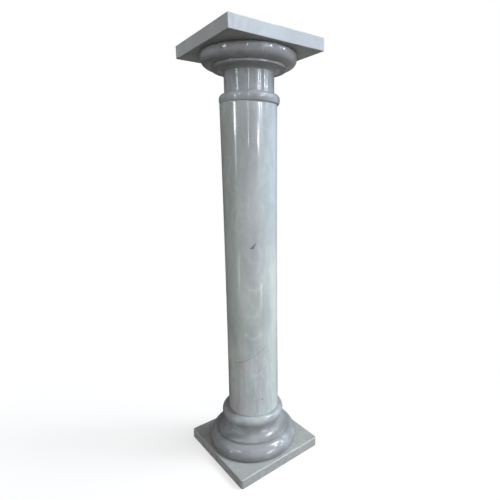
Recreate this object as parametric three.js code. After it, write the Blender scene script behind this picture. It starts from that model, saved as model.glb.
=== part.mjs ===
// A marble pedestal in the form of a Doric column, in five pieces that stand on one another:
// a square plinth, a turned base, a plain shaft, a turned capital and a square abacus.
// Millimetres, +Z up. The origin is the centre of the plinth's underside, and the plinth's sides
// are square to X and Y.
import * as THREE from 'three';

// Square slabs
const PLINTH_SIDE = 241.5;
const PLINTH_THICKNESS = 24;
const PLINTH_CORNER_RADIUS = 7;
const PLINTH_ARRIS = 2;
const ABACUS_SIDE = 238;
const ABACUS_THICKNESS = 27;
const ABACUS_CORNER_RADIUS = 1.5;
const ABACUS_ARRIS = 0.8;

// Base, from its bed upward
const BASE_BED_DIAMETER = 218;
const LOWER_TORUS_DIAMETER = 227;
const LOWER_TORUS_UNDERCUT = 5;
const LOWER_TORUS_RISE = 28.75;
const BASE_FILLET_DIAMETER = 184;
const BASE_FILLET_HEIGHT = 7;
const SCOTIA_ARRIS = 1.5;
const SCOTIA_DIAMETER = 141;
const SCOTIA_LOWER_RISE = 19;
const SCOTIA_UPPER_RISE = 10.25;
const SCOTIA_LIP = 2;
const UPPER_TORUS_DIAMETER = 159.5;
const UPPER_TORUS_HEIGHT = 23.5;
const UPPER_TORUS_SEAT = 6.5;

// Shaft, with a slight waist
const SHAFT_LENGTH = 750;
const SHAFT_FOOT_DIAMETER = 129.6;
const SHAFT_WAIST_DIAMETER = 128;
const SHAFT_TOP_DIAMETER = 131.6;
const SHAFT_WAIST_HEIGHT = 285;

// Capital, from its bed upward
const ASTRAGAL_DIAMETER = 138.6;
const ASTRAGAL_HEIGHT = 21.5;
const ASTRAGAL_SHOULDER = 2.5;
const NECK_DIAMETER = 113.6;
const NECK_HEIGHT = 43;
const COVE_RISE = 8.5;
const CAPITAL_FILLET_DIAMETER = 168;
const CAPITAL_FILLET_HEIGHT = 5.5;
const ECHINUS_DIAMETER = 216;
const ECHINUS_RISE = 20.5;
const ECHINUS_ROUNDNESS = 0.8;
const ECHINUS_SHOULDER = 6.5;
const ECHINUS_SEAT = 6.5;

// How truly the pieces were set on one another: each one's distance from the plinth's centre along
// one bearing, and the turn of the abacus over the plinth.
const SETTING_BEARING = -35.28;
const BASE_OFFSET = -1;
const SHAFT_OFFSET = 1.9;
const CAPITAL_OFFSET = 4.3;
const ABACUS_OFFSET = 2.8;
const ABACUS_TURN = -2.35;

// Facets
const AROUND = 64;
const COARSE_STEPS = 3;
const ARC_STEPS = 5;
const FINE_STEPS = 7;
const SHAFT_STEPS = 6;
const CORNER_STEPS = 5;
const ARRIS_STEPS = 2;

// Marble finishes
const MARBLE = {
  plinth: { color: 0xb0b6b5, roughness: 0.32 },
  base: { color: 0x8f9499, roughness: 0.14 },
  shaft: { color: 0xa9b1b1, roughness: 0.16 },
  capital: { color: 0x868a90, roughness: 0.12 },
  abacus: { color: 0xc4c9ce, roughness: 0.42 },
};

// A profile is a list of [radius, height] points, drawn upward from a centre point on the axis.
// Each of these functions adds one member to it, starting from the profile's last point.

// A straight run to a new radius, rising by a height.
function straight(profile, radius, rise) {
  const height = profile.at(-1)[1] + rise;
  profile.push([radius, height]);
}

// A quarter round that leaves along the radius and ends upright: a swelling torus or echinus when
// the radius grows, a hollow scotia when it shrinks. A roundness below 1 makes the swelling fuller
// than an ellipse.
function quarterOutThenUp(profile, radius, rise, steps, roundness = 1) {
  const [startRadius, startHeight] = profile.at(-1);
  for (let i = 1; i < steps; i += 1) {
    const angle = (Math.PI / 2) * (i / steps);
    profile.push([
      startRadius + (radius - startRadius) * Math.sin(angle) ** roundness,
      startHeight + rise * (1 - Math.cos(angle) ** roundness),
    ]);
  }
  profile.push([radius, startHeight + rise]);
}

// A quarter round that leaves upright and ends along the radius.
function quarterUpThenOut(profile, radius, rise, steps) {
  const [startRadius, startHeight] = profile.at(-1);
  for (let i = 1; i <= steps; i += 1) {
    const angle = (Math.PI / 2) * (i / steps);
    profile.push([
      radius - (radius - startRadius) * Math.cos(angle),
      startHeight + rise * Math.sin(angle),
    ]);
  }
}

// The closed solid that a profile makes when it is turned about Z.
function turned(profile) {
  const top = profile.at(-1)[1];
  const points = [...profile, [0, top]].map(([radius, height]) => new THREE.Vector2(radius, height));
  return new THREE.LatheGeometry(points, AROUND).rotateX(Math.PI / 2);
}

// A square slab with its corners rounded in plan and its upper and lower edges eased.
function slab(side, thickness, cornerRadius, arris) {
  const half = side / 2;
  const inner = half - cornerRadius;
  const outline = new THREE.Shape();
  outline.absarc(inner, inner, cornerRadius, 0, Math.PI / 2);
  outline.absarc(-inner, inner, cornerRadius, Math.PI / 2, Math.PI);
  outline.absarc(-inner, -inner, cornerRadius, Math.PI, 1.5 * Math.PI);
  outline.absarc(inner, -inner, cornerRadius, 1.5 * Math.PI, 2 * Math.PI);
  outline.closePath();
  return new THREE.ExtrudeGeometry(outline, {
    depth: thickness - 2 * arris,
    curveSegments: CORNER_STEPS,
    bevelThickness: arris,
    bevelSize: arris,
    bevelOffset: -arris,
    bevelSegments: ARRIS_STEPS,
  }).translate(0, 0, arris);
}

// Base: a lower torus over a narrower bed, a fillet, a scotia and an upper torus.
function baseProfile() {
  const profile = [[0, 0], [BASE_BED_DIAMETER / 2, 0]];
  quarterOutThenUp(profile, LOWER_TORUS_DIAMETER / 2, LOWER_TORUS_UNDERCUT, COARSE_STEPS);
  quarterUpThenOut(profile, BASE_FILLET_DIAMETER / 2, LOWER_TORUS_RISE, FINE_STEPS);
  straight(profile, BASE_FILLET_DIAMETER / 2, BASE_FILLET_HEIGHT);
  straight(profile, BASE_FILLET_DIAMETER / 2 - SCOTIA_ARRIS, 0);
  quarterOutThenUp(profile, SCOTIA_DIAMETER / 2, SCOTIA_LOWER_RISE, ARC_STEPS);
  quarterUpThenOut(profile, SCOTIA_DIAMETER / 2 + SCOTIA_LIP, SCOTIA_UPPER_RISE, COARSE_STEPS);
  quarterOutThenUp(profile, UPPER_TORUS_DIAMETER / 2, UPPER_TORUS_HEIGHT / 2, ARC_STEPS);
  const seatDiameter = SHAFT_FOOT_DIAMETER + UPPER_TORUS_SEAT;
  quarterUpThenOut(profile, seatDiameter / 2, UPPER_TORUS_HEIGHT / 2, ARC_STEPS);
  return profile;
}

// Shaft: two easy curves that meet at the waist.
function shaftProfile() {
  const profile = [[0, 0]];
  const below = (SHAFT_FOOT_DIAMETER - SHAFT_WAIST_DIAMETER) / 2;
  const above = (SHAFT_TOP_DIAMETER - SHAFT_WAIST_DIAMETER) / 2;
  for (let i = 0; i <= SHAFT_STEPS; i += 1) {
    const height = SHAFT_LENGTH * (i / SHAFT_STEPS);
    const fromWaist = height - SHAFT_WAIST_HEIGHT;
    const spread = fromWaist < 0
      ? below * (fromWaist / SHAFT_WAIST_HEIGHT) ** 2
      : above * (fromWaist / (SHAFT_LENGTH - SHAFT_WAIST_HEIGHT)) ** 2;
    profile.push([SHAFT_WAIST_DIAMETER / 2 + spread, height]);
  }
  return profile;
}

// Capital: an astragal ring that starts at the shaft's own width, a neck, a cove, a fillet and an echinus.
function capitalProfile() {
  const profile = [[0, 0], [SHAFT_TOP_DIAMETER / 2, 0]];
  quarterOutThenUp(profile, ASTRAGAL_DIAMETER / 2, ASTRAGAL_HEIGHT / 2, COARSE_STEPS);
  quarterUpThenOut(profile, NECK_DIAMETER / 2 + ASTRAGAL_SHOULDER, ASTRAGAL_HEIGHT / 2, ARC_STEPS);
  straight(profile, NECK_DIAMETER / 2, 0);
  straight(profile, NECK_DIAMETER / 2, NECK_HEIGHT);
  quarterUpThenOut(profile, CAPITAL_FILLET_DIAMETER / 2, COVE_RISE, ARC_STEPS);
  straight(profile, CAPITAL_FILLET_DIAMETER / 2, CAPITAL_FILLET_HEIGHT);
  quarterOutThenUp(profile, ECHINUS_DIAMETER / 2, ECHINUS_RISE, FINE_STEPS, ECHINUS_ROUNDNESS);
  quarterUpThenOut(profile, ECHINUS_DIAMETER / 2 - ECHINUS_SEAT, ECHINUS_SHOULDER, COARSE_STEPS);
  return profile;
}

const column = new THREE.Group();
const bearing = THREE.MathUtils.degToRad(SETTING_BEARING);

// Sets a piece down on the one below it, moved off the plinth's centre along the setting bearing.
function place(name, geometry, bedHeight, offset) {
  const finish = new THREE.MeshStandardMaterial({ ...MARBLE[name], metalness: 0 });
  const piece = new THREE.Mesh(geometry, finish);
  piece.name = name;
  piece.position.set(offset * Math.cos(bearing), offset * Math.sin(bearing), bedHeight);
  column.add(piece);
  return piece;
}

const baseShape = baseProfile();
const capitalShape = capitalProfile();
const baseBed = PLINTH_THICKNESS;
const shaftBed = baseBed + baseShape.at(-1)[1];
const capitalBed = shaftBed + SHAFT_LENGTH;
const abacusBed = capitalBed + capitalShape.at(-1)[1];

place('plinth', slab(PLINTH_SIDE, PLINTH_THICKNESS, PLINTH_CORNER_RADIUS, PLINTH_ARRIS), 0, 0);
place('base', turned(baseShape), baseBed, BASE_OFFSET);
place('shaft', turned(shaftProfile()), shaftBed, SHAFT_OFFSET);
place('capital', turned(capitalShape), capitalBed, CAPITAL_OFFSET);
const abacus = slab(ABACUS_SIDE, ABACUS_THICKNESS, ABACUS_CORNER_RADIUS, ABACUS_ARRIS);
place('abacus', abacus, abacusBed, ABACUS_OFFSET).rotation.z = THREE.MathUtils.degToRad(ABACUS_TURN);

export default column;
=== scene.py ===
"""Looks for the marble column pedestal: fine turned and sawn surfaces, marble finishes, light and camera."""
import math

import bpy
import numpy as np
from mathutils import Matrix, Vector, noise


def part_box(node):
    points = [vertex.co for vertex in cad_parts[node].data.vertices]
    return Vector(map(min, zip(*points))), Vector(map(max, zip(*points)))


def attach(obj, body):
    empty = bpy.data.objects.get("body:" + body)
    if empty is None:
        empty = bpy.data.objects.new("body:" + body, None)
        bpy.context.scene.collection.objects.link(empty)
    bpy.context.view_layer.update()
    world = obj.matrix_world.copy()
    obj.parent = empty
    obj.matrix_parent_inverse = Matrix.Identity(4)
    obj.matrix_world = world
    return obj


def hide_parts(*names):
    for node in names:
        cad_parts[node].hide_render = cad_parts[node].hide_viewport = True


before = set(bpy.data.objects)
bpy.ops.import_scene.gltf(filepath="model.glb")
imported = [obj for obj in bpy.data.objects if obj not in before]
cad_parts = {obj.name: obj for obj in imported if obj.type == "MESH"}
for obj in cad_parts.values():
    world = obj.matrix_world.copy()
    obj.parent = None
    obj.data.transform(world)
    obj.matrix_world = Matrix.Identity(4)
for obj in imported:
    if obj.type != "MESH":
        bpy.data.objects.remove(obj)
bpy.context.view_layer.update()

# All sizes are in metres, all angles in degrees.

# Base, from its bed upward
BASE_BED_RADIUS = 0.109
LOWER_TORUS_RADIUS = 0.1135
LOWER_TORUS_UNDERCUT = 0.005
LOWER_TORUS_RISE = 0.02875
BASE_FILLET_RADIUS = 0.092
BASE_FILLET_HEIGHT = 0.007
BASE_QUIRK = 0.0007
SCOTIA_ARRIS = 0.0015
SCOTIA_RADIUS = 0.0705
SCOTIA_LOWER_RISE = 0.019
SCOTIA_UPPER_RISE = 0.01025
SCOTIA_LIP = 0.001
UPPER_TORUS_RADIUS = 0.07975
UPPER_TORUS_HEIGHT = 0.0235
UPPER_TORUS_SEAT_RADIUS = 0.06805

# Shaft
SHAFT_FOOT_RADIUS = 0.0648
SHAFT_WAIST_RADIUS = 0.064
SHAFT_TOP_RADIUS = 0.0658
SHAFT_WAIST_HEIGHT = 0.285

# Capital, from its bed upward
ASTRAGAL_RADIUS = 0.0693
ASTRAGAL_HEIGHT = 0.0215
ASTRAGAL_SHOULDER = 0.0025
NECK_RADIUS = 0.0568
NECK_HEIGHT = 0.043
COVE_RISE = 0.0085
CAPITAL_FILLET_RADIUS = 0.084
CAPITAL_FILLET_HEIGHT = 0.0055
ECHINUS_RADIUS = 0.108
ECHINUS_RISE = 0.0205
ECHINUS_ROUNDNESS = 0.8
ECHINUS_SHOULDER = 0.0065
ECHINUS_SEAT_RADIUS = 0.1015

# Slabs
PLINTH_SIDE = 0.2415
PLINTH_CORNER_RADIUS = 0.007
PLINTH_ARRIS = 0.002
PLINTH_CHIP_PLACE = (-0.0085, -0.1175, 0.0005)
PLINTH_CHIP_SIZE = 0.0035
ABACUS_SIDE = 0.238
ABACUS_CORNER_RADIUS = 0.0015
ABACUS_ARRIS = 0.0008
ABACUS_TURN = -2.35

# Corners of the turned profiles. Where one turns by less than the sharp angle it is left as it is, and an
# eased corner takes no more than its share of the run on either side.
EASED_CORNER = 0.0006
EASED_SHARE = 0.45
SHARP_ANGLE = 25.0
SAME_PLACE = 1e-7

# Fineness of the meshes. The shares are those of the rings that close a flat face towards its middle.
QUARTER_STEPS = 16
EASED_STEPS = 4
PROFILE_STEP = 0.0013
SHAFT_RUNS = 40
SHAFT_STEP = 0.003
AROUND = 288
SLAB_STEP = 0.0017
CORNER_STEPS = 12
ARRIS_STEPS = 5
TURNED_SHARES = (0.5, 0.9)
SLAB_SHARES = (0.3, 0.6, 0.8, 0.9, 0.95, 0.975, 0.99)

# Unevenness of the faces. Each set of waves has its grain and its depth, and the depth by itself is how far
# the face is taken back on the whole. Near the axis of a turned piece the waves are as shallow as at the
# least radius. A seed moves the waves by its number times the shift.
POLISHED_WAVES = ((0.045, 0.00010), (0.014, 0.000025))
POLISHED_DEPTH = 0.00008
POLISHED_LEAST_RADIUS = 0.02
SAWN_WAVES = ((0.05, 0.00010), (0.012, 0.00003))
SAWN_DEPTH = 0.00005
SEED_SHIFT = (7.3, 3.1, 5.7)

# A chip's depth as a share of its size, and how ragged its edge is
CHIP_DEPTH = 0.35
CHIP_GRAIN = 0.0012
CHIP_RAGGEDNESS = 0.5

# The photograph's camera, and the bearing of its right-hand side
CAMERA_PLACE = (-0.5325, -0.7560, 0.7157)
CAMERA_BEARING = 51.311
CAMERA_PITCH = -11.690
CAMERA_ROLL = -0.336
CAMERA_NEAR = 0.01
FRAME_PIXELS = 500
FOCAL_PIXELS = 382.93
CENTRE_PIXEL = (273.40, 252.54)
SENSOR_WIDTH = 36.0
ACROSS_BEARING = -35.28


def direction(bearing, elevation=0.0):
    """The unit vector at a bearing from +X towards +Y and an elevation above the horizon."""
    turn, lift = math.radians(bearing), math.radians(elevation)
    return Vector((math.cos(turn) * math.cos(lift), math.sin(turn) * math.cos(lift), math.sin(lift)))


# Profiles: lists of radius and height, from the bed upward


def quarter_out_then_up(profile, radius, rise, roundness=1.0):
    """Adds a quarter round that leaves along the radius and ends upright. It is fuller if its roundness is
    below 1."""
    start_radius, start_height = profile[-1]
    for i in range(1, QUARTER_STEPS + 1):
        angle = math.pi / 2 * i / QUARTER_STEPS
        cosine = max(math.cos(angle), 0.0)
        profile.append((start_radius + (radius - start_radius) * math.sin(angle) ** roundness,
                        start_height + rise * (1 - cosine ** roundness)))


def quarter_up_then_out(profile, radius, rise):
    """Adds a quarter round that leaves upright and ends along the radius."""
    start_radius, start_height = profile[-1]
    for i in range(1, QUARTER_STEPS + 1):
        angle = math.pi / 2 * i / QUARTER_STEPS
        profile.append((radius - (radius - start_radius) * math.cos(angle),
                        start_height + rise * math.sin(angle)))


def straight(profile, radius, rise):
    """Adds a straight run to a new radius."""
    profile.append((radius, profile[-1][1] + rise))


def base_profile():
    """Lower torus, quirk, fillet, scotia and upper torus."""
    profile = [(BASE_BED_RADIUS, 0.0)]
    quarter_out_then_up(profile, LOWER_TORUS_RADIUS, LOWER_TORUS_UNDERCUT)
    quarter_up_then_out(profile, BASE_FILLET_RADIUS, LOWER_TORUS_RISE)
    straight(profile, BASE_FILLET_RADIUS - BASE_QUIRK, 0.0)
    straight(profile, BASE_FILLET_RADIUS, BASE_QUIRK)
    straight(profile, BASE_FILLET_RADIUS, BASE_FILLET_HEIGHT - BASE_QUIRK)
    straight(profile, BASE_FILLET_RADIUS - SCOTIA_ARRIS, 0.0)
    quarter_out_then_up(profile, SCOTIA_RADIUS, SCOTIA_LOWER_RISE)
    quarter_up_then_out(profile, SCOTIA_RADIUS + SCOTIA_LIP, SCOTIA_UPPER_RISE)
    quarter_out_then_up(profile, UPPER_TORUS_RADIUS, UPPER_TORUS_HEIGHT / 2)
    quarter_up_then_out(profile, UPPER_TORUS_SEAT_RADIUS, UPPER_TORUS_HEIGHT / 2)
    return profile


def shaft_profile(length):
    """A parabola from the waist down to the foot, and another up to the top."""
    profile = []
    for i in range(SHAFT_RUNS + 1):
        height = length * i / SHAFT_RUNS
        from_waist = height - SHAFT_WAIST_HEIGHT
        if from_waist < 0:
            end_radius, reach = SHAFT_FOOT_RADIUS, SHAFT_WAIST_HEIGHT
        else:
            end_radius, reach = SHAFT_TOP_RADIUS, length - SHAFT_WAIST_HEIGHT
        spread = (end_radius - SHAFT_WAIST_RADIUS) * (from_waist / reach) ** 2
        profile.append((SHAFT_WAIST_RADIUS + spread, height))
    return profile


def capital_profile():
    """Astragal ring, neck, cove, fillet and echinus."""
    profile = [(SHAFT_TOP_RADIUS, 0.0)]
    quarter_out_then_up(profile, ASTRAGAL_RADIUS, ASTRAGAL_HEIGHT / 2)
    quarter_up_then_out(profile, NECK_RADIUS + ASTRAGAL_SHOULDER, ASTRAGAL_HEIGHT / 2)
    straight(profile, NECK_RADIUS, 0.0)
    straight(profile, NECK_RADIUS, NECK_HEIGHT)
    quarter_up_then_out(profile, CAPITAL_FILLET_RADIUS, COVE_RISE)
    straight(profile, CAPITAL_FILLET_RADIUS, CAPITAL_FILLET_HEIGHT)
    quarter_out_then_up(profile, ECHINUS_RADIUS, ECHINUS_RISE, ECHINUS_ROUNDNESS)
    quarter_up_then_out(profile, ECHINUS_SEAT_RADIUS, ECHINUS_SHOULDER)
    return profile


def eased(points):
    """A profile with each of its sharp corners rounded."""
    points = [Vector(point) for point in points]
    result = [points[0]]
    for before, corner, after in zip(points, points[1:], points[2:]):
        into, out = corner - before, after - corner
        if min(into.length, out.length) < SAME_PLACE:
            continue
        if math.degrees(into.angle(out)) < SHARP_ANGLE:
            result.append(corner)
            continue
        start = corner - into.normalized() * min(EASED_CORNER, EASED_SHARE * into.length)
        end = corner + out.normalized() * min(EASED_CORNER, EASED_SHARE * out.length)
        for i in range(EASED_STEPS + 1):
            t = i / EASED_STEPS
            result.append(start * (1 - t) ** 2 + corner * 2 * t * (1 - t) + end * t ** 2)
    result.append(points[-1])
    return result


def divided(points, step):
    """Splits the runs of a profile so that none is longer than the step."""
    result = [points[0]]
    for start, end in zip(points, points[1:]):
        count = max(1, math.ceil((end - start).length / step))
        result += [start.lerp(end, (i + 1) / count) for i in range(count)]
    return result


# Meshes


def closed_mesh(name, rings):
    """A closed mesh from rings of points, from the bottom centre upward to the top centre."""
    rings = [np.asarray(ring, float) for ring in rings]
    count = len(rings[0])
    bottom, top = rings[0].mean(0), rings[-1].mean(0)
    points = np.vstack([bottom[None], *rings, top[None]])
    around = np.arange(count)
    following = (around + 1) % count
    faces = [(0, 1 + b, 1 + a) for a, b in zip(around, following)]
    for k in range(len(rings) - 1):
        low, high = 1 + k * count, 1 + (k + 1) * count
        faces += zip(low + around, low + following, high + following, high + around)
    last, tip = 1 + (len(rings) - 1) * count, len(points) - 1
    faces += [(last + a, last + b, tip) for a, b in zip(around, following)]
    mesh = bpy.data.meshes.new(name)
    mesh.from_pydata(points.tolist(), [], [tuple(int(i) for i in face) for face in faces])
    mesh.shade_smooth()
    piece = bpy.data.objects.new(name, mesh)
    bpy.context.collection.objects.link(piece)
    return piece


def unevenness(point, seed, waves):
    """Smooth random depth at a point: a sum of waves, each with its own grain and depth."""
    shift = Vector([seed * part for part in SEED_SHIFT])
    return sum(depth * noise.noise(Vector(point) / size + shift) for size, depth in waves)


def turned(name, node, profile, step, seed):
    """A turned piece on the axis and bed of its node, with the faint waves of hand polishing."""
    low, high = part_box(node)
    centre = (low + high) / 2
    outline = divided(eased(profile), step)
    bed, seat = outline[0], outline[-1]
    members = [(bed.x * share, bed.y) for share in TURNED_SHARES]
    members += [tuple(point) for point in outline]
    members += [(seat.x * share, seat.y) for share in reversed(TURNED_SHARES)]
    angles = np.arange(AROUND) * 2 * math.pi / AROUND
    rings = []
    for radius, height in members:
        ring = np.stack([radius * np.cos(angles), radius * np.sin(angles), np.full(AROUND, height)], 1)
        for point in ring:
            wave = unevenness(point, seed, POLISHED_WAVES)
            point[:2] *= 1 + (wave - POLISHED_DEPTH) / max(radius, POLISHED_LEAST_RADIUS)
        rings.append(ring + [centre.x, centre.y, low.z])
    return closed_mesh(name, rings)


def square_outline(side, corner_radius, inset):
    """Points around a square with rounded corners, drawn in by an inset no larger than the corner."""
    half = side / 2
    radius = corner_radius - inset
    straight_count = round((side - 2 * corner_radius) / SLAB_STEP)
    corner = Vector((half - corner_radius, half - corner_radius))
    points = []
    for quadrant in range(4):
        quarter_turn = Matrix.Rotation(math.pi / 2 * quadrant, 2)
        for i in range(CORNER_STEPS + 1):
            angle = math.pi / 2 * i / CORNER_STEPS
            points.append(quarter_turn @ (corner + radius * Vector((math.cos(angle), math.sin(angle)))))
        first, last = points[-1], quarter_turn @ Vector((-corner.x, corner.y + radius))
        points += [first.lerp(last, i / straight_count) for i in range(1, straight_count)]
    return points


def slab(name, node, side, corner_radius, arris, turn, seed, chips=()):
    """A sawn slab on its node's place, with eased arrises and chips, each a place and a size."""
    low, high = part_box(node)
    centre = (low + high) / 2
    thickness = high.z - low.z
    rotation = Matrix.Rotation(math.radians(turn), 4, "Z")
    in_place = Matrix.Translation((centre.x, centre.y, low.z)) @ rotation
    middle = Vector((0, 0, thickness / 2))

    angles = np.radians(np.linspace(0, 90, ARRIS_STEPS + 1))
    edge = [(arris * (1 - math.sin(angle)), arris * (1 - math.cos(angle))) for angle in angles]
    side_height = thickness - 2 * arris
    side_count = math.ceil(side_height / SLAB_STEP)
    members = [*edge]
    members += [(0.0, arris + side_height * i / side_count) for i in range(1, side_count)]
    members += [(inset, thickness - height) for inset, height in reversed(edge)]

    rim = square_outline(side, corner_radius, arris)
    underside = [[(*(point * share), 0.0) for point in rim] for share in SLAB_SHARES]
    body = [[(*point, height) for point in square_outline(side, corner_radius, inset)]
            for inset, height in members]
    top = [[(x, y, thickness) for x, y, _ in ring] for ring in reversed(underside)]

    def finished(x, y, z):
        """A point of the slab in its place, with its unevenness and chips."""
        point = Vector((x, y, z))
        if 0 < z < thickness:
            towards = (middle - point).normalized()
            depth = SAWN_DEPTH + unevenness(point, seed, SAWN_WAVES)
            point += Vector((towards.x, towards.y, 0)) * depth
        point = in_place @ point
        for spot, size in chips:
            reach = (point - Vector(spot)).length / size
            if reach < 1:
                inward = (in_place @ middle - Vector(spot)).normalized()
                ragged = 1 + CHIP_RAGGEDNESS * noise.noise(point / CHIP_GRAIN)
                point += inward * size * CHIP_DEPTH * (1 - reach) * ragged
        return tuple(point)

    return closed_mesh(name, [[finished(*point) for point in ring] for ring in (*underside, *body, *top)])


# Shader nodes


def add(tree, kind, inputs=None, **settings):
    """Adds a shader node. Each input is a plain value, or another node's socket to link."""
    made = tree.nodes.new(kind)
    for key, value in settings.items():
        setattr(made, key, value)
    for key, value in (inputs or {}).items():
        if isinstance(value, bpy.types.NodeSocket):
            tree.links.new(value, made.inputs[key])
        else:
            made.inputs[key].default_value = value
    return made


def maths(tree, operation, first, *others):
    """One kind of arithmetic on a single value, or on several values in turn."""
    result = first
    for other in others or (0.0,):
        result = add(tree, "ShaderNodeMath", {0: result, 1: other}, operation=operation).outputs[0]
    return result


def vector_maths(tree, operation, vector, other):
    """One step of arithmetic on two vectors, or on a vector and a number that scales it."""
    second_input = 3 if operation == "SCALE" else 1
    made = add(tree, "ShaderNodeVectorMath", {0: vector, second_input: other}, operation=operation)
    return made.outputs["Value" if operation == "DOT_PRODUCT" else "Vector"]


def ranged(tree, value, low, high, to_low=0.0, to_high=1.0):
    """Maps a value smoothly from one range to another."""
    inputs = {0: value, 1: low, 2: high, 3: to_low, 4: to_high}
    return add(tree, "ShaderNodeMapRange", inputs, interpolation_type="SMOOTHSTEP").outputs[0]


def fading(tree, value, low, high, strength=1.0):
    """The full strength up to the low end of a range of a value, and nothing from its high end."""
    return ranged(tree, value, low, high, strength, 0.0)


def mixed(tree, share, a, b, blend="MIX"):
    """Mixes two colours."""
    return add(tree, "ShaderNodeMix", {0: share, 6: a, 7: b}, data_type="RGBA", blend_type=blend).outputs[2]


def tinted(tree, share, body, tint):
    """A colour multiplied by a tint, as far as the share says."""
    return mixed(tree, share, body, tint, "MULTIPLY")


def grain(tree, place, scale, detail=3.0, roughness=0.5, stretch=(1, 1, 1), shift=(0, 0, 0),
          distortion=0.0):
    """A noise value between 0 and 1, finer along the directions with a larger stretch."""
    mapped = add(tree, "ShaderNodeMapping", {"Vector": place, "Location": shift, "Scale": stretch})
    inputs = {"Vector": mapped.outputs[0], "Scale": scale, "Detail": detail, "Roughness": roughness,
              "Distortion": distortion}
    return add(tree, "ShaderNodeTexNoise", inputs).outputs["Fac"]


def centred(tree, value):
    """A noise value moved so that it lies about 0."""
    return maths(tree, "SUBTRACT", value, 0.5)


def wandering(tree, place, scale, reach, roughness=0.5):
    """A noise that lies about 0 and spans a reach."""
    return maths(tree, "MULTIPLY", centred(tree, grain(tree, place, scale, roughness=roughness)), reach)


def height_of(tree, place):
    """The height of each point above the floor."""
    return add(tree, "ShaderNodeSeparateXYZ", {0: place}).outputs["Z"]


def colour(red, green, blue):
    """A linear colour from display values between 0 and 255."""
    def linear(value):
        value /= 255
        return value / 12.92 if value <= 0.04045 else ((value + 0.055) / 1.055) ** 2.4
    return (linear(red), linear(green), linear(blue), 1.0)


# Marble. A scale is a number of grains to the metre, apart from those of patches and folds, which are times
# the scale of the clouds. A range is the part of a noise that counts, and a shift keeps one noise from
# looking like another.
BEND_SCALE = 16.0
BEND_REACH = 0.05
CLOUD_RANGE = (0.3, 0.7)
PATCH_SCALE = 0.7
PATCH_SHIFT = (5, 2, 9)
PATCH_RANGE = (0.38, 0.62)
PATCH_STRENGTH = 0.7
FOLD_SCALE = 2.4
FOLD_SHIFT = (2, 9, 4)
FOLD_DISTORTION = 0.4
FOLD_WIDTH = 0.12
WISP_SHIFT = (3, 8, 1)
WISP_RANGE = (0.52, 0.68)
WISP_LIGHTENING = 1.3
STREAK_SCALE = 110.0
STREAK_STRETCH = (1, 1, 0.06)
STREAK_RANGE = (0.3, 0.7)
SPECKLE_SCALE = 420.0
SPECKLE_RANGE = (0.25, 0.75)
SPECKLE_SHADES = (0.96, 1.04)

# Polish: the long waves and the turning marks in its bump, and the smears that make it duller or glossier
WAVE_SCALE = 26.0
TURNING_SCALE = 250.0
TURNING_STRETCH = (0.3, 0.3, 1)
BUMP_DISTANCE = 0.0004
BUMP_STRENGTH = 0.25
SMEAR_SCALE = 38.0
SMEAR_RANGE = (0.3, 0.7)
SMEAR_SHADES = (0.8, 1.35)

# A worn edge, by the distance up or down from it
WORN_REACH = (0.0010, 0.0018)
WORN_ROUGHNESS = 0.40


def clouded(tree, place, dark, light, tint, shift, cloud, stretch, wisps, streak):
    """The colour of marble: soft clouds between a dark and a light colour, patches of a tint, pale wisps,
    upright streaks and fine speckle."""
    noise_inputs = {"Vector": place, "Scale": BEND_SCALE, "Detail": 2.0}
    bend = add(tree, "ShaderNodeTexNoise", noise_inputs).outputs["Color"]
    bend = vector_maths(tree, "SUBTRACT", bend, (0.5, 0.5, 0.5))
    flowing = vector_maths(tree, "ADD", place, vector_maths(tree, "SCALE", bend, BEND_REACH))

    clouds = grain(tree, flowing, cloud, detail=5.0, roughness=0.55, stretch=stretch, shift=shift)
    body = mixed(tree, ranged(tree, clouds, *CLOUD_RANGE), dark, light)

    patches = grain(tree, place, cloud * PATCH_SCALE, detail=2.0, stretch=stretch, shift=PATCH_SHIFT)
    body = mixed(tree, ranged(tree, patches, *PATCH_RANGE, 0.0, PATCH_STRENGTH), body, tint)

    folds = grain(tree, flowing, cloud * FOLD_SCALE, detail=2.0, stretch=stretch, shift=FOLD_SHIFT,
                  distortion=FOLD_DISTORTION)
    fold = fading(tree, maths(tree, "ABSOLUTE", centred(tree, folds)), 0.0, FOLD_WIDTH)
    seldom = grain(tree, place, cloud, detail=1.0, stretch=stretch, shift=WISP_SHIFT)
    wisp = maths(tree, "MULTIPLY", fold, ranged(tree, seldom, *WISP_RANGE, 0.0, wisps))
    pale = (*(min(1.0, value * WISP_LIGHTENING) for value in light[:3]), 1.0)
    body = mixed(tree, wisp, body, pale)

    streaks = grain(tree, flowing, STREAK_SCALE, detail=4.0, roughness=0.6, stretch=STREAK_STRETCH,
                    shift=shift)
    streak_shade = ranged(tree, streaks, *STREAK_RANGE, 1 - streak, 1 + streak)
    speckle = grain(tree, place, SPECKLE_SCALE, detail=2.0, roughness=0.6)
    speckle_shade = ranged(tree, speckle, *SPECKLE_RANGE, *SPECKLE_SHADES)
    return tinted(tree, 1.0, body, maths(tree, "MULTIPLY", streak_shade, speckle_shade))


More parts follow.
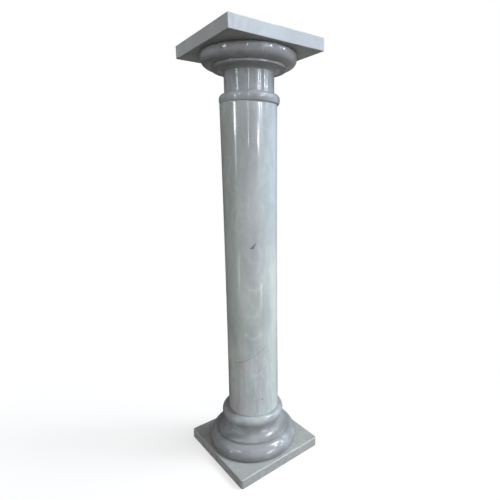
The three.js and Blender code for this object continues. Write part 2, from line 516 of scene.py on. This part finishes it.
def marble(name, dark, light, tint, shift, cloud=12.0, stretch=(1, 1, 0.55), wisps=0.3, streak=0.03,
           roughness=0.08, rings=0.0, marks=None, worn=None):
    """Polished marble, coloured as clouded says. Rings is the strength of its turning marks, and marks is a
    function that adds a piece's own marks to its colour and to the height of its bump. The edge at the worn
    height is duller."""
    material = bpy.data.materials.new(name)
    material.use_nodes = True
    tree = material.node_tree
    place = add(tree, "ShaderNodeTexCoord").outputs["Object"]
    body = clouded(tree, place, dark, light, tint, shift, cloud, stretch, wisps, streak)

    height = grain(tree, place, WAVE_SCALE, detail=2.0)
    if rings:
        turning = grain(tree, place, TURNING_SCALE, detail=2.0, roughness=0.6, stretch=TURNING_STRETCH)
        height = maths(tree, "ADD", height, maths(tree, "MULTIPLY", turning, rings))
    if marks:
        body, height = marks(tree, place, body, height)
    bump = add(tree, "ShaderNodeBump",
               {"Height": height, "Distance": BUMP_DISTANCE, "Strength": BUMP_STRENGTH}).outputs[0]

    smears = grain(tree, place, SMEAR_SCALE, detail=4.0, roughness=0.6)
    dullness = ranged(tree, smears, *SMEAR_RANGE, *(roughness * shade for shade in SMEAR_SHADES))
    if worn:
        from_edge = maths(tree, "ABSOLUTE", maths(tree, "SUBTRACT", height_of(tree, place), worn))
        dullness = maths(tree, "MAXIMUM", dullness, fading(tree, from_edge, *WORN_REACH, WORN_ROUGHNESS))

    surface = tree.nodes["Principled BSDF"]
    tree.links.new(body, surface.inputs["Base Color"])
    tree.links.new(dullness, surface.inputs["Roughness"])
    tree.links.new(bump, surface.inputs["Normal"])
    return material


# Marks on the shaft's front. Each is placed by how far it lies across, to the right of the shaft's axis as
# seen from the front, and by its height above the floor. The swirls and the dark marks come in over the
# facing reach, from the axis towards the front, so that the back has none.
FACING_REACH = (0.01, 0.02)

# Dark veins: each one's height at the axis, its slope across and its lean outward, how far across it begins
# and ends, and its strength
VEINS = (
    (0.298, 0.63, -0.30, -0.050, 0.040, 0.75),
    (0.158, 0.60, 0.0, -0.008, 0.015, 0.40),
)
VEIN_WIDTH = 0.0011
VEIN_FADE = 0.01
VEIN_WANDER_SCALE = 60.0
VEIN_WANDER = 0.004

# A dark wedge and a small dark spot
WEDGE = ((0.0118, 0.5605), (-0.0030, 0.5465), (0.0058, 0.5458))
WEDGE_SOFTNESS = 0.0006
WEDGE_STRENGTH = 0.75
SPOT = (0.0218, 0.1625)
SPOT_RADIUS = 0.0023
MARK_COLOUR = colour(96, 99, 98)
MARK_PITTING = 0.6

# Pale swirls low on the shaft: how far across and how high each one's middle is, its radius and its strength.
# Only their lower halves show: they fade out upward over a range of heights, in radii from the middle.
SWIRLS = (
    (0.0065, 0.4615, 0.0165, 0.60),
    (0.0015, 0.3440, 0.0180, 0.55),
    (0.0000, 0.3920, 0.0125, 0.45),
    (-0.0030, 0.4400, 0.0110, 0.35),
    (0.0060, 0.2420, 0.0150, 0.40),
)
SWIRL_WIDTH = 0.0065
SWIRL_FADE = (-0.4, 0.3)
SWIRL_WANDER_SCALE = 75.0
SWIRL_WANDER = 0.026
SWIRL_BREAK_SCALE = 120.0
SWIRL_BREAK_SHIFT = (6, 2, 8)
SWIRL_BREAK_RANGE = (0.35, 0.6)
SWIRL_BREAK_SHADES = (0.35, 1.0)
SWIRL_COLOUR = colour(203, 210, 208)

# Fine upright striation low on the shaft, which fades out upward over a range of heights
STRIA_SCALE = 95.0
STRIA_STRETCH = (1, 1, 0.1)
STRIA_DISTORTION = 0.5
STRIA_RANGE = (0.3, 0.7)
STRIA_SHADES = (-0.10, 0.10)
STRIATED_BELOW = (0.26, 0.36)

# Tints on the shaft: painted shade on the left, warmer low down, lilac along the middle of its upper part and
# in patches low down, and a painted bluish tint of cool light on the right of its upper part. A tint comes in
# or fades over a range of how far across it lies, and over a range of heights. The lilac patches fade over
# the reach of the blue.
LEFT_PAINTED_SHADE = (0.89, 0.90, 0.875, 1.0)
LEFT_PAINTED_SHADE_LOW = (0.985, 0.925, 0.89, 1.0)
WARM_SHADE_BELOW = (0.28, 0.40)
LEFT_SHADE_REACH = (-0.042, -0.022)
LILAC = (0.96, 0.92, 0.97, 1.0)
LILAC_REACH = (0.010, 0.030)
LILAC_ABOVE = (0.40, 0.55)
LILAC_PATCH_SCALE = 22.0
LILAC_PATCH_STRETCH = (1, 1, 0.6)
LILAC_PATCH_SHIFT = (4, 7, 2)
LILAC_PATCH_RANGE = (0.42, 0.58)
LILAC_PATCHES_BELOW = (0.30, 0.37)
PAINTED_COOL_LIGHT = (0.94, 0.965, 1.03, 1.0)
COOL_LIGHT_REACH = (0.020, 0.034)
COOL_LIGHT_ABOVE = (0.50, 0.68)


def squared_distance(tree, across, up, middle):
    """The square of the distance from a middle, measured across and up."""
    aside = maths(tree, "SUBTRACT", across, middle[0])
    rise = maths(tree, "SUBTRACT", up, middle[1])
    return maths(tree, "ADD", maths(tree, "MULTIPLY", aside, aside), maths(tree, "MULTIPLY", rise, rise))


def swirls(tree, place, across, up):
    """The lower halves of soft, wandering and broken rings."""
    wander = wandering(tree, place, SWIRL_WANDER_SCALE, SWIRL_WANDER, roughness=0.6)
    shares = []
    for middle_across, middle_up, radius, strength in SWIRLS:
        away = maths(tree, "SQRT", squared_distance(tree, across, up, (middle_across, middle_up)))
        off = maths(tree, "ADD", maths(tree, "SUBTRACT", away, radius), wander)
        near = fading(tree, maths(tree, "ABSOLUTE", off), 0.0, SWIRL_WIDTH, strength)
        rise = maths(tree, "SUBTRACT", up, middle_up)
        lower = fading(tree, rise, *(share * radius for share in SWIRL_FADE))
        shares.append(maths(tree, "MULTIPLY", near, lower))
    breaks = grain(tree, place, SWIRL_BREAK_SCALE, roughness=0.6, shift=SWIRL_BREAK_SHIFT)
    broken = ranged(tree, breaks, *SWIRL_BREAK_RANGE, *SWIRL_BREAK_SHADES)
    return maths(tree, "MULTIPLY", maths(tree, "MAXIMUM", *shares), broken)


def striated(tree, place, body, up):
    """The stone with its fine upright striation."""
    striae = grain(tree, place, STRIA_SCALE, detail=5.0, roughness=0.7, stretch=STRIA_STRETCH,
                   distortion=STRIA_DISTORTION)
    shade = ranged(tree, striae, *STRIA_RANGE, *STRIA_SHADES)
    shade = maths(tree, "MULTIPLY", shade, fading(tree, up, *STRIATED_BELOW))
    return tinted(tree, 1.0, body, maths(tree, "ADD", shade, 1.0))


def shaft_tints_and_painted_shading(tree, place, body, across, up):
    """The stone with its lilac zones, painted shade on the left, warmer low down, and a painted bluish tint
    of cool light on the right.
    """
    middle = fading(tree, maths(tree, "ABSOLUTE", across), *LILAC_REACH)
    lilac = maths(tree, "MULTIPLY", middle, ranged(tree, up, *LILAC_ABOVE))
    patches = grain(tree, place, LILAC_PATCH_SCALE, detail=2.0, stretch=LILAC_PATCH_STRETCH,
                    shift=LILAC_PATCH_SHIFT)
    patches = maths(tree, "MULTIPLY", ranged(tree, patches, *LILAC_PATCH_RANGE),
                    fading(tree, up, *LILAC_PATCHES_BELOW), fading(tree, across, *COOL_LIGHT_REACH))
    body = tinted(tree, maths(tree, "MAXIMUM", lilac, patches), body, LILAC)
    # Painted shade on the shaft's left, away from the light; warmer low down.
    left_shade = mixed(tree, ranged(tree, up, *WARM_SHADE_BELOW), LEFT_PAINTED_SHADE_LOW, LEFT_PAINTED_SHADE)
    body = tinted(tree, fading(tree, across, *LEFT_SHADE_REACH), body, left_shade)
    # Painted cool light: bluish on the right of the upper shaft, facing the light.
    blue = maths(tree, "MULTIPLY", ranged(tree, across, *COOL_LIGHT_REACH), ranged(tree, up, *COOL_LIGHT_ABOVE))
    return tinted(tree, blue, body, PAINTED_COOL_LIGHT)


def vein(tree, across, outward, up, wander, height, slope, lean, begin, end, strength):
    """A thin wandering line on the shaft, which fades out at both ends."""
    run = maths(tree, "ADD", maths(tree, "MULTIPLY", across, slope), maths(tree, "MULTIPLY", outward, lean))
    off = maths(tree, "ADD", maths(tree, "SUBTRACT", up, run, height), wander)
    near = fading(tree, maths(tree, "ABSOLUTE", off), 0.0, VEIN_WIDTH)
    begun = ranged(tree, across, begin, begin + VEIN_FADE)
    unfinished = fading(tree, across, end - VEIN_FADE, end)
    return maths(tree, "MULTIPLY", near, begun, unfinished, strength)


def triangle(tree, across, up, corners, softness):
    """1 inside a triangle, with a soft edge."""
    depths = []
    for (x0, z0), (x1, z1) in zip(corners, (*corners[1:], corners[0])):
        length = math.hypot(x1 - x0, z1 - z0)
        in_across, in_up = (z0 - z1) / length, (x1 - x0) / length
        depth = maths(tree, "ADD", maths(tree, "MULTIPLY", across, in_across),
                      maths(tree, "MULTIPLY", up, in_up))
        depths.append(maths(tree, "SUBTRACT", depth, in_across * x0 + in_up * z0))
    return ranged(tree, maths(tree, "MINIMUM", *depths), -softness, softness)


def shaft_marks(tree, place, body, height):
    """Swirls, striation, tints with painted shade and painted cool light, and the dark veins, wedge and spot.
    """
    low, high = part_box("shaft")
    centre = (low + high) / 2
    from_axis = vector_maths(tree, "SUBTRACT", place, (centre.x, centre.y, 0))
    axes = (direction(ACROSS_BEARING), direction(ACROSS_BEARING - 90), Vector((0, 0, 1)))
    across, outward, up = (vector_maths(tree, "DOT_PRODUCT", from_axis, axis) for axis in axes)
    facing = ranged(tree, outward, *FACING_REACH)

    body = mixed(tree, maths(tree, "MULTIPLY", swirls(tree, place, across, up), facing), body, SWIRL_COLOUR)
    body = striated(tree, place, body, up)
    body = shaft_tints_and_painted_shading(tree, place, body, across, up)

    wander = wandering(tree, place, VEIN_WANDER_SCALE, VEIN_WANDER)
    shares = [vein(tree, across, outward, up, wander, *values) for values in VEINS]
    wedge = triangle(tree, across, up, WEDGE, WEDGE_SOFTNESS)
    shares.append(maths(tree, "MULTIPLY", wedge, WEDGE_STRENGTH))
    shares.append(fading(tree, squared_distance(tree, across, up, SPOT), 0.0, SPOT_RADIUS ** 2))
    share = maths(tree, "MULTIPLY", maths(tree, "MAXIMUM", *shares), facing)
    pitted = maths(tree, "SUBTRACT", height, maths(tree, "MULTIPLY", share, MARK_PITTING))
    return mixed(tree, share, body, MARK_COLOUR), pitted


# Painted shade where the base stands on the plinth, and painted light on its upper torus, which faces up.
# Each reach is a range of heights, from the bed of the base and from the bottom of the torus.
PAINTED_BED_SHADE = (0.68, 0.68, 0.69, 1.0)
PAINTED_BED_SHADE_REACH = (0.006, 0.020)
UPPER_TORUS_PAINTED_LIGHT = (1.14, 1.13, 1.15, 1.0)
UPPER_TORUS_LIGHT_REACH = (-0.005, 0.003)


def base_painted_shading(tree, place, body, height):
    """Painted shade near the bed of the base, where it stands on the plinth, and painted light on its upper
    torus.
    """
    low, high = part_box("base")
    torus_bottom = high.z - UPPER_TORUS_HEIGHT
    up = height_of(tree, place)
    # Painted shade: darker towards the bed, where the base meets the plinth.
    painted_shade = fading(tree, up, *(low.z + reach for reach in PAINTED_BED_SHADE_REACH))
    body = tinted(tree, painted_shade, body, PAINTED_BED_SHADE)
    # Painted light: paler on the upper torus, which faces the light from above.
    torus_light = ranged(tree, up, *(torus_bottom + reach for reach in UPPER_TORUS_LIGHT_REACH))
    return tinted(tree, torus_light, body, UPPER_TORUS_PAINTED_LIGHT), height


# Pieces


def dress(piece, node, material):
    """Puts a piece in the place of its node, with its finish."""
    piece.data.materials.append(material)
    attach(piece, "root")
    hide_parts(node)


shaft_low, shaft_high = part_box("shaft")
capital_fillet_height = shaft_high.z + ASTRAGAL_HEIGHT + NECK_HEIGHT + COVE_RISE

dress(
    slab("plinth_slab", "plinth", PLINTH_SIDE, PLINTH_CORNER_RADIUS, PLINTH_ARRIS, turn=0.0, seed=1,
         chips=((PLINTH_CHIP_PLACE, PLINTH_CHIP_SIZE),)),
    "plinth",
    marble("plinth_marble", dark=colour(149, 151, 149), light=colour(163, 166, 163),
           tint=colour(155, 156, 157), shift=(1, 4, 2), cloud=9.0, stretch=(1, 1, 1), wisps=0.1, streak=0.0,
           roughness=0.26),
)
dress(
    turned("base_moulding", "base", base_profile(), PROFILE_STEP, seed=2),
    "base",
    marble("base_marble", dark=colour(121, 125, 128), light=colour(155, 161, 160),
           tint=colour(139, 137, 143), shift=(7, 1, 5), stretch=(1, 1, 2.0), streak=0.02, roughness=0.06,
           rings=2.2, marks=base_painted_shading),
)
dress(
    turned("shaft_drum", "shaft", shaft_profile(shaft_high.z - shaft_low.z), SHAFT_STEP, seed=3),
    "shaft",
    marble("shaft_marble", dark=colour(167, 177, 176), light=colour(191, 198, 197),
           tint=colour(179, 183, 185), shift=(2, 6, 3), wisps=0.2, streak=0.055, roughness=0.07, rings=0.2,
           marks=shaft_marks),
)
dress(
    turned("capital_moulding", "capital", capital_profile(), PROFILE_STEP, seed=4),
    "capital",
    marble("capital_marble", dark=colour(147, 151, 155), light=colour(174, 179, 184),
           tint=colour(159, 158, 167), shift=(4, 3, 8), streak=0.05, roughness=0.06, rings=3.0,
           worn=capital_fillet_height),
)
dress(
    slab("abacus_slab", "abacus", ABACUS_SIDE, ABACUS_CORNER_RADIUS, ABACUS_ARRIS, ABACUS_TURN, seed=5),
    "abacus",
    marble("abacus_marble", dark=colour(165, 173, 176), light=colour(183, 191, 194),
           tint=colour(176, 178, 184), shift=(9, 5, 1), cloud=14.0, stretch=(1, 1, 1), wisps=0.25, streak=0.0,
           roughness=0.35),
)

# Floor: pale near the column, fading out into the pale surroundings over a range of distances
FLOOR_REACH = 4.0
FLOOR_FADE = (0.5, 2.2)
FLOOR_COLOUR = (0.32, 0.32, 0.32, 1.0)
FLOOR_GLOW = (0.65, 0.65, 0.65, 1.0)
FLOOR_ROUGHNESS = 0.9

floor_mesh = bpy.data.meshes.new("floor")
floor_corners = [(x * FLOOR_REACH, y * FLOOR_REACH, 0.0) for x, y in ((-1, -1), (1, -1), (1, 1), (-1, 1))]
floor_mesh.from_pydata(floor_corners, [], [(0, 1, 2, 3)])
floor = bpy.data.objects.new("floor", floor_mesh)
bpy.context.collection.objects.link(floor)
floor.visible_diffuse = False
floor.visible_glossy = False
floor.visible_shadow = False
floor_material = bpy.data.materials.new("floor")
floor_material.use_nodes = True
floor_tree = floor_material.node_tree
floor_surface = floor_tree.nodes["Principled BSDF"]
floor_surface.inputs["Base Color"].default_value = FLOOR_COLOUR
floor_surface.inputs["Emission Color"].default_value = FLOOR_GLOW
floor_surface.inputs["Emission Strength"].default_value = 1.0
floor_surface.inputs["Roughness"].default_value = FLOOR_ROUGHNESS
floor_surface.inputs["Specular IOR Level"].default_value = 0.0
floor_place = add(floor_tree, "ShaderNodeTexCoord").outputs["Object"]
floor_length = add(floor_tree, "ShaderNodeVectorMath", {0: floor_place}, operation="LENGTH")
faded = ranged(floor_tree, floor_length.outputs["Value"], *FLOOR_FADE)
clear = add(floor_tree, "ShaderNodeBsdfTransparent").outputs[0]
floor_mix = add(floor_tree, "ShaderNodeMixShader", {0: faded, 1: floor_surface.outputs[0], 2: clear})
floor_tree.links.new(floor_mix.outputs[0], floor_tree.nodes["Material Output"].inputs["Surface"])
floor_mesh.materials.append(floor_material)

# Light from all round. The camera sees plain pale surroundings instead of it.
BACKGROUND = (1.0, 1.0, 1.0, 1.0)

# Soft lobes of light, smaller the sharper they are. Each has a bearing, an elevation, a sharpness and a
# colour. All but the last two began as a least-squares fit of light to the photograph's shading, made by a
# scratch program and rounded. Most were then dimmed or reshaped.
LOBES = (
    (-45, 50, 110, (16.9, 17.2, 18.2)),
    (-30, 60, 110, (18.3, 20.2, 19.7)),
    (-15, 40, 200, (7.9, 7.9, 8.2)),
    (-45, 20, 200, (2.1, 4.9, 7.8)),
    (-30, 20, 200, (3.9, 6.7, 9.6)),
    (-15, 20, 200, (3.8, 4.8, 5.6)),
    (-80, 12, 60, (4.2, 4.5, 5.4)),
    (-90, -20, 60, (1.6, 1.2, 0.95)),
    (-160, 12, 60, (0.50, 0.60, 0.64)),
    (180, 30, 60, (2.4, 2.9, 3.2)),
    (-90, 45, 10, (1.46, 1.40, 1.34)),
    (-15, -15, 10, (0.84, 0.77, 0.67)),
    (-150, -30, 10, (0.55, 0.52, 0.42)),
    (120, 30, 10, (0.38, 0.26, 0.22)),
    (45, -15, 10, (0.36, 0.36, 0.35)),
    (42, 48, 60, (0.8, 0.83, 0.83)),
    (135, -20, 10, (0.12, 0.13, 0.13)),
)

# Small far lamps, which make points of light on the mouldings and the shaft. Each is a lobe too. Their
# directions, and those of the bands, were chosen from the ones in which the photograph's highlights reflect.
SPOTLIGHTS = (
    (179.7, 10.4, 7000, (75, 77, 79)),
    (-127.4, 10.4, 6000, (62, 63, 65)),
    (-82.5, 10.4, 4500, (120, 123, 126)),
    (-74.0, 10.4, 5000, (105, 107, 110)),
    (-50.0, 10.4, 5000, (120, 123, 127)),
    (-37.0, 10.6, 5000, (105, 108, 111)),
    (-37.0, 31.5, 1500, (60, 63, 65)),
    (-59.0, 35.0, 1200, (60, 63, 65)),
    (-41.0, 53.0, 3000, (90, 94, 97)),
    (-164.0, 30.0, 900, (34, 35, 36)),
    (161.0, 38.5, 1500, (24, 25, 25)),
)

# Upright bands of light, whose reflections run down the polished shaft and neck or lie as dashes on the
# mouldings. Each has a bearing, the elevations where it begins, is full and starts to end, a half width and a
# colour.
BANDS = (
    (179.0, 4.2, 5.4, 9.2, 4.5, (17, 17.5, 18)),
    (178.5, -4.0, 2.5, 9.2, 2.5, (6, 6.2, 6.2)),
    (-179.0, 11.4, 11.6, 11.9, 2.0, (20, 20.5, 21)),
    (178.0, 13.5, 13.7, 14.0, 2.0, (20, 20.5, 21)),
    (-127.2, 3.9, 4.3, 5.4, 1.0, (30, 30, 30)),
    (-127.2, 5.4, 8.0, 11.0, 1.0, (7, 7, 7)),
    (-88.0, 3.0, 3.6, 5.0, 3.0, (24, 25, 26)),
    (-87.0, 0.5, 3.2, 5.2, 2.0, (7, 7.4, 7.8)),
    (-82.5, 5.0, 6.0, 9.2, 1.0, (12, 12.5, 13)),
    (-82.1, 13.2, 13.4, 13.7, 2.0, (30, 31, 32)),
    (-72.5, 5.6, 6.6, 9.0, 1.0, (10, 10.5, 11)),
    (-127.5, 11.8, 12.3, 13.8, 1.1, (28, 28, 28)),
    (-72.5, 12.0, 12.6, 13.9, 1.1, (17, 17.5, 18)),
    (-52.0, 11.0, 11.8, 13.9, 1.2, (15, 16, 17.5)),
    (180.0, -19.0, -14.5, -12.0, 3.5, (5, 5.2, 5.2)),
    (-82.0, -17.9, -17.8, -17.6, 2.2, (38, 39, 40)),
    (-82.0, -20.5, -18.5, -17.8, 2.0, (6, 6.2, 6.4)),
    (-67.0, -16.5, -15.0, -14.0, 2.0, (7, 7.3, 7.6)),
)
BAND_SOFTNESS = 0.2

world = bpy.data.worlds.new("studio")
bpy.context.scene.world = world
world.use_nodes = True
sky = world.node_tree
towards = add(sky, "ShaderNodeTexCoord").outputs["Generated"]


def along(bearing, elevation=0.0):
    """How far each direction points along one direction, as a cosine."""
    return vector_maths(sky, "DOT_PRODUCT", towards, direction(bearing, elevation))


def lobe(bearing, elevation, sharpness):
    """1 in the middle of a soft lobe, fading out around it."""
    away = maths(sky, "SUBTRACT", along(bearing, elevation), 1.0)
    return maths(sky, "EXPONENT", maths(sky, "MULTIPLY", away, sharpness))


def band(bearing, begin, full, end, half_width):
    """1 inside an upright band, fading out around it."""
    sideways = maths(sky, "DIVIDE", along(bearing + 90), math.sin(math.radians(half_width)))
    across = maths(sky, "EXPONENT", maths(sky, "MULTIPLY", sideways, sideways, -1.0))
    ahead = maths(sky, "GREATER_THAN", along(bearing), 0.0)
    height = along(0, 90)
    steps = [math.sin(math.radians(angle)) for angle in (begin, full, end, end + BAND_SOFTNESS)]
    begun = ranged(sky, height, *steps[:2])
    unfinished = fading(sky, height, *steps[2:])
    return maths(sky, "MULTIPLY", across, ahead, begun, unfinished)


total = None
parts = [(lobe(*values), tone) for *values, tone in (*LOBES, *SPOTLIGHTS)]
parts += [(band(*values), tone) for *values, tone in BANDS]
for reach, tone in parts:
    part = vector_maths(sky, "SCALE", tone, reach)
    total = part if total is None else vector_maths(sky, "ADD", total, part)
around_light = add(sky, "ShaderNodeBackground", {"Color": total}).outputs[0]
backdrop = add(sky, "ShaderNodeBackground", {"Color": BACKGROUND}).outputs[0]
seen = add(sky, "ShaderNodeLightPath").outputs["Is Camera Ray"]
sky_mix = add(sky, "ShaderNodeMixShader", {0: seen, 1: around_light, 2: backdrop}).outputs[0]
sky.links.new(sky_mix, sky.nodes["World Output"].inputs["Surface"])

# Camera
camera_data = bpy.data.cameras.new("camera")
camera_data.sensor_width = SENSOR_WIDTH
camera_data.lens = FOCAL_PIXELS / FRAME_PIXELS * SENSOR_WIDTH
camera_data.shift_x = (FRAME_PIXELS / 2 - CENTRE_PIXEL[0]) / FRAME_PIXELS
camera_data.shift_y = (CENTRE_PIXEL[1] - FRAME_PIXELS / 2) / FRAME_PIXELS
camera_data.clip_start = CAMERA_NEAR
camera = bpy.data.objects.new("camera", camera_data)
forward = direction(CAMERA_BEARING, CAMERA_PITCH)
level_right = direction(CAMERA_BEARING - 90)
level_up = level_right.cross(forward)
roll = math.radians(CAMERA_ROLL)
camera_right = level_right * math.cos(roll) + level_up * math.sin(roll)
camera_up = level_up * math.cos(roll) - level_right * math.sin(roll)
camera_turn = Matrix((camera_right, camera_up, -forward)).transposed().to_4x4()
camera.matrix_world = Matrix.Translation(CAMERA_PLACE) @ camera_turn
bpy.context.collection.objects.link(camera)
bpy.context.scene.camera = camera
bpy.context.scene.view_settings.view_transform = "Standard"
